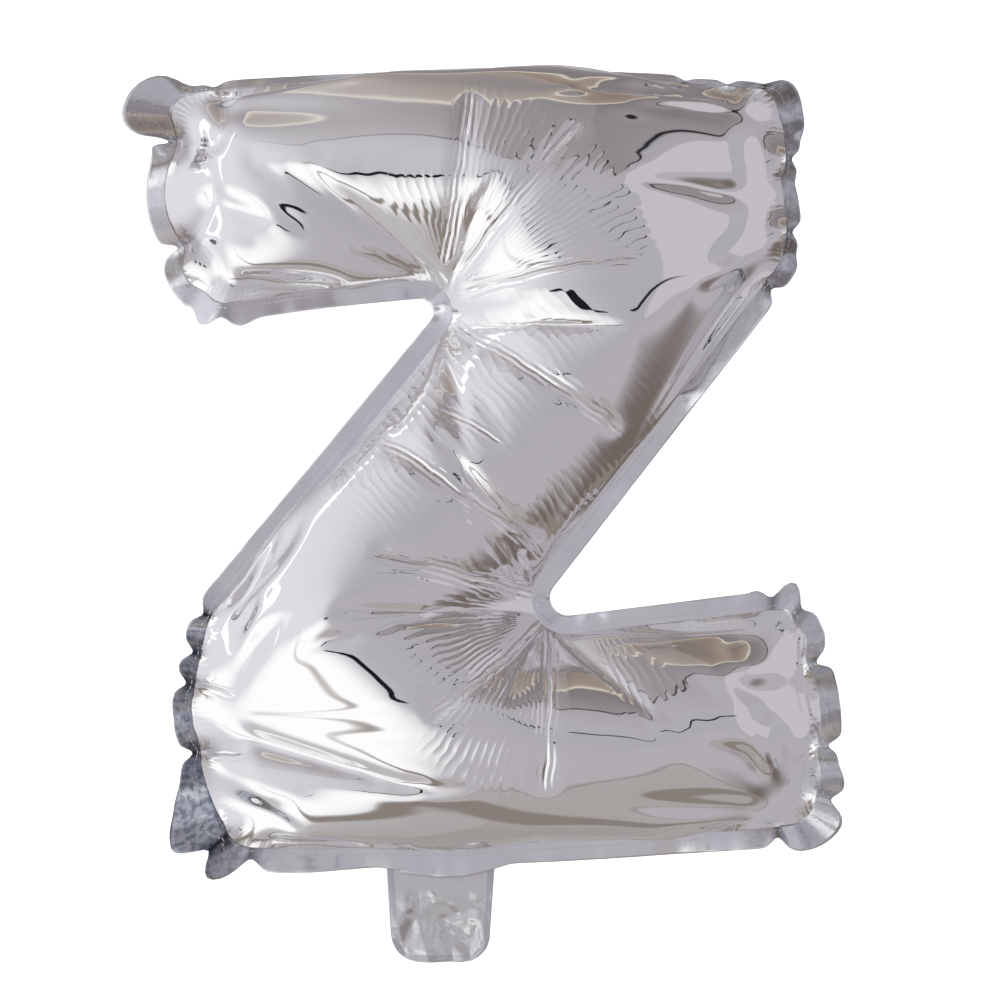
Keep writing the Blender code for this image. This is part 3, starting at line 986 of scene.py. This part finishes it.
def dashTree():
    tree = bpy.data.node_groups.new("sealDashes", "GeometryNodeTree")
    tree.interface.new_socket("Geometry", in_out="INPUT", socket_type="NodeSocketGeometry")
    names = {}
    for label in ("Spacing", "Length", "Radius"):
        socket = tree.interface.new_socket(label, in_out="INPUT", socket_type="NodeSocketFloat")
        names[label] = socket.identifier
    tree.interface.new_socket("Geometry", in_out="OUTPUT", socket_type="NodeSocketGeometry")
    given = addNode(tree, "NodeGroupInput").outputs
    path = addNode(tree, "GeometryNodeMeshToCurve", {"Mesh": given["Geometry"]})
    stops = addNode(tree, "GeometryNodeCurveToPoints", {
        "Curve": path.outputs[0], "Length": given["Spacing"]}, mode="LENGTH")
    bar = addNode(tree, "GeometryNodeMeshCylinder", {
        "Vertices": 8, "Radius": given["Radius"], "Depth": given["Length"]})
    placed = addNode(tree, "GeometryNodeInstanceOnPoints", {
        "Points": stops.outputs["Points"], "Instance": bar.outputs["Mesh"],
        "Rotation": stops.outputs["Rotation"]})
    real = addNode(tree, "GeometryNodeRealizeInstances", {0: placed.outputs[0]})
    coated = addNode(tree, "GeometryNodeSetMaterial", {0: real.outputs[0], "Material": borderFoil})
    addNode(tree, "NodeGroupOutput", {0: coated.outputs[0]})
    return tree, names


def makeDashes(line):
    mesh = bpy.data.meshes.new("sealDashes")
    edges = [(k, (k + 1) % len(line)) for k in range(len(line))]
    mesh.from_pydata((line * mm).tolist(), edges, [])
    piece = addObject("sealDashes", mesh)
    tree, names = dashTree()
    modifier = piece.modifiers.new("dashes", "NODES")
    modifier.node_group = tree
    for label, identifier in names.items():
        modifier[identifier] = dashes[label.lower()] * mm
    applyModifiers(piece)
    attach(piece, "balloon")
    print("heat-seal line set:", len(piece.data.polygons), "faces")


def makeLetter():
    step = pattern["step"]
    rimSpots = rimOfFilm()
    rim = rimSpots[:, :2]
    seam = patternSeam(step)
    aim, gather = guideSeam(seam, rim, rimSpots[:, 2])
    flat, front, back = flatMesh(seam, step)
    faces = np.vstack([front, back])
    spots = calmFilm(inflate(flat, aim, faces), flat, faces, seam, gather)
    print("letter blown up:", len(flat), "points")
    makeFilm("frontFoil", "front_film", front, spots, flat, seam, gather)
    makeFilm("backFoil", "back_film", back, spots, flat, seam, gather)
    makeBorder(spots, len(seam), (front, back), rim, gather)


makeLetter()


# Tail: two clear films lying on each other, crumpled, with rounded ends

tail = dict(
    columns=61,
    rows=57,
    above=4.5,
    taper=0.12,
    corner=11.0,
    free=(2.0, 12.0),
    crumple=[(9.5, 3.0), (3.6, 0.55)],
    crumpleShift=0.42,
    crumpleMargin=12.0,
    seed=5,
    thickness=0.2,
    uvSize=100.0,
    hingeReach=1.5,
)


def crumpledHeight(spots, seed, step, crumple):
    # Flat facets between random heights: creases run straight from point to point
    random = np.random.default_rng(seed)
    low = spots.min(axis=0) - tail["crumpleMargin"]
    high = spots.max(axis=0) + tail["crumpleMargin"]
    grid = np.array([(x, z) for x in np.arange(low[0], high[0], step)
                     for z in np.arange(low[1], high[1], step)])
    grid += random.uniform(-tail["crumpleShift"], tail["crumpleShift"], grid.shape) * step
    heights = random.uniform(-1, 1, len(grid)) * crumple
    found = delaunay_2d_cdt([Vector(p) for p in grid], [], [], 0, weldAt)
    heights = np.array([heights[k[0]] for k in found[3]])
    places = np.array(found[0])
    result = np.zeros(len(spots))
    for face in found[2]:
        a, b, c = places[face]
        ab, ac, ap = b - a, c - a, spots - a
        u, v = crossOf(ap, ac) / crossOf(ab, ac), crossOf(ab, ap) / crossOf(ab, ac)
        here = (u >= -tiny) & (v >= -tiny) & (u + v <= 1 + tiny)
        ha, hb, hc = heights[face]
        result[here] = (ha + u * (hb - ha) + v * (hc - ha))[here]
    return result


def makeTail():
    low, high = (np.array(corner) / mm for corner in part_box("tail_front_film"))
    columns, rows = tail["columns"], tail["rows"]
    top = high[2] + tail["above"]
    half, middle = (high[0] - low[0]) / 2, (high[0] + low[0]) / 2
    drop = np.linspace(0, top - low[2], rows)
    fromEnd = (top - low[2]) - drop
    radius = tail["corner"]
    intoCorner = np.maximum(0, radius - fromEnd)
    rounded = radius - np.sqrt(np.maximum(0, radius ** 2 - intoCorner ** 2))
    widths = half * (1 - tail["taper"] * drop / drop[-1]) - rounded
    across = np.linspace(-1, 1, columns)
    x = middle + across * widths[:, None]
    flatSpots = np.column_stack([x.ravel(), np.repeat(top - drop, columns)])
    free = rampUp(np.repeat(drop, columns) - tail["above"], *tail["free"])
    y = free * sum(crumpledHeight(flatSpots, tail["seed"] + k, *size)
                   for k, size in enumerate(tail["crumple"]))
    edge = np.minimum((1 - np.abs(across)) * widths[:, None], fromEnd[:, None]).ravel()
    faces = [(k, k + columns, k + columns + 1, k + 1)
             for r in range(rows - 1) for k in range(r * columns, (r + 1) * columns - 1)]
    piece = newPiece("tailFilm", withDepth(flatSpots, y) * mm, faces, clearFilm,
                     flatSpots / tail["uvSize"], {"edge": threeColumns(edge)})
    thicken(piece, tail["thickness"])
    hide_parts("tail_front_film", "tail_back_film")
    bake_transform(piece)


makeTail()
print("tail made")


# Stage: pale floor that sweeps up behind, soft lights and a plain studio sky

stage = dict(
    floor=-0.26,
    colour="#fafafa",
    front=-0.35,
    wallAt=2.6,
    wallHeight=4.0,
    sweep=1.2,
    sweepSteps=16,
    halfWidth=3.0,
)
lamps = [
    # name, place, spot that it faces, width and height, watts
    ("keyLight", (-1.5, -0.9, 0.15), (0, 0, 0), (0.9, 1.1), 36.0),
    ("rightLight", (1.4, -1.1, 0.5), (0, 0, 0), (0.7, 0.7), 14.0),
    ("wallLight", (0, 0.6, 2.4), (0, 2.3, -0.2), (2.6, 0.8), 60.0),
]


def makeStage():
    material, tree, shader = newMaterial("paleFloor")
    setInputs(tree, shader, {"Base Color": hexColour(stage["colour"]), "Roughness": 0.8})
    sweep, steps, half = stage["sweep"], stage["sweepSteps"], stage["halfWidth"]
    bendAt = stage["wallAt"] - sweep
    profile = [(stage["front"], 0.0), (bendAt, 0.0)]
    for k in range(1, steps + 1):
        a = math.radians(90 * k / steps)
        profile.append((bendAt + sweep * math.sin(a), sweep * (1 - math.cos(a))))
    profile.append((stage["wallAt"], stage["wallHeight"]))
    spots = [(x, y, stage["floor"] + z) for y, z in profile for x in (-half, half)]
    faces = [(2 * k, 2 * k + 1, 2 * k + 3, 2 * k + 2) for k in range(len(profile) - 1)]
    floor = newPiece("floor", spots, faces, material)
    floor.visible_glossy = False


def addLight(name, place, aim, size, power):
    data = bpy.data.lights.new(name, "AREA")
    data.shape = "RECTANGLE"
    data.size, data.size_y = size
    data.energy = power
    light = addObject(name, data)
    light.location = place
    light.rotation_euler = (Vector(aim) - Vector(place)).to_track_quat("-Z", "Y").to_euler()
    light.visible_glossy = False  # the foil mirrors the painted studio instead


skyBands = [
    # sine of the height, and the colour seen there
    (-1.0, "#a6a29f"), (-0.9, "#aca8a6"), (-0.7, "#b2aead"), (-0.69, "#989390"),
    (-0.675, "#b9b6bb"), (-0.45, "#bab7bd"), (0.0, "#b5b2b9"), (0.34, "#b8b5bc"),
    (0.55, "#b4b1b6"), (0.655, "#aeabb0"), (0.66, "#24242b"), (0.672, "#24242b"),
    (0.68, "#9c9698"), (0.8, "#908a8c"), (0.905, "#857f82"), (0.915, "#e8e2cf"),
    (0.925, "#a5988d"), (0.975, "#94867c"), (1.0, "#7e7876"),
]
skyPatches = [
    # turn to the right and height of its middle in degrees, half width and half height in
    # degrees, softness of the edge, brightness, colour
    (-75, 5, 48, 55, 0.9, 1.06, "#e4e3e9"),  # left wall
    (-51, -27, 32, 21, 0.75, 1.12, "#ffffff"),  # big soft light
    (-84, 22, 4, 24, 0.25, 1.2, "#ffffff"),  # strip light
    (62, 14, 22, 22, 0.07, 1.0, "#cbc8ce"),  # window
    (92, -38, 26, 17, 0.8, 1.0, "#756b66"),  # dark corner
    (30, -62, 60, 5, 0.5, 1.0, "#8f8680"),  # brown table edge
    (-20, -8, 9, 1.6, 0.35, 1.0, "#1c1c24"),  # tripod
    (28, 10, 17, 0.9, 0.35, 1.0, "#26262e"),  # slot
]


def alongAxis(tree, direction, axis):
    return addNode(tree, "ShaderNodeVectorMath", {0: direction, 1: tuple(axis)},
                   operation="DOT_PRODUCT").outputs["Value"]


def skyPatch(tree, direction, colour, form):
    # Mixes a soft-edged oval into the studio's colour
    turn, height, halfWidth, halfHeight, softness, bright, tone = form
    turn, height = math.radians(turn), math.radians(height)
    ahead = Vector((math.sin(turn) * math.cos(height), -math.cos(turn) * math.cos(height),
                    math.sin(height)))
    side = Vector((math.cos(turn), math.sin(turn), 0.0))
    axes = [side / math.sin(math.radians(halfWidth)),
            side.cross(ahead) / math.sin(math.radians(halfHeight))]
    offsets = [alongAxis(tree, direction, axis) for axis in axes]
    oval = remap(tree, plus(tree, *[times(tree, off, off) for off in offsets]),
                 1 + softness, 1 - softness, 0.0, 1.0, interpolation_type="SMOOTHSTEP")
    facing = maths(tree, "GREATER_THAN", alongAxis(tree, direction, ahead), 0.0)
    light = [c * bright for c in hexColour(tone)[:3]] + [1.0]
    return mixColours(tree, times(tree, oval, facing), colour, light)


def makeSky():
    # A studio as the foil mirrors it: pale walls, a darker ceiling, soft lights and dark gaps
    world = bpy.data.worlds.new("studio")
    bpy.context.scene.world = world
    world.use_nodes = True
    tree = world.node_tree
    direction = addNode(tree, "ShaderNodeTexCoord").outputs["Generated"]
    height = addNode(tree, "ShaderNodeSeparateXYZ", {0: direction}).outputs["Z"]
    ramp = addNode(tree, "ShaderNodeValToRGB", {0: remap(tree, height, -1.0, 1.0, 0.0, 1.0)})
    elements = ramp.color_ramp.elements
    while len(elements) < len(skyBands):
        elements.new(0.5)
    for element, (sine, colour) in zip(elements, skyBands):
        element.position = (sine + 1) / 2
        element.color = hexColour(colour)
    colour = ramp.outputs["Color"]
    for form in skyPatches:
        colour = skyPatch(tree, direction, colour, form)
    setInputs(tree, tree.nodes["Background"], {"Color": colour, "Strength": 1.0})


makeStage()
makeSky()
for lamp in lamps:
    addLight(*lamp)
bpy.context.scene.view_settings.view_transform = "Standard"
print("stage made")
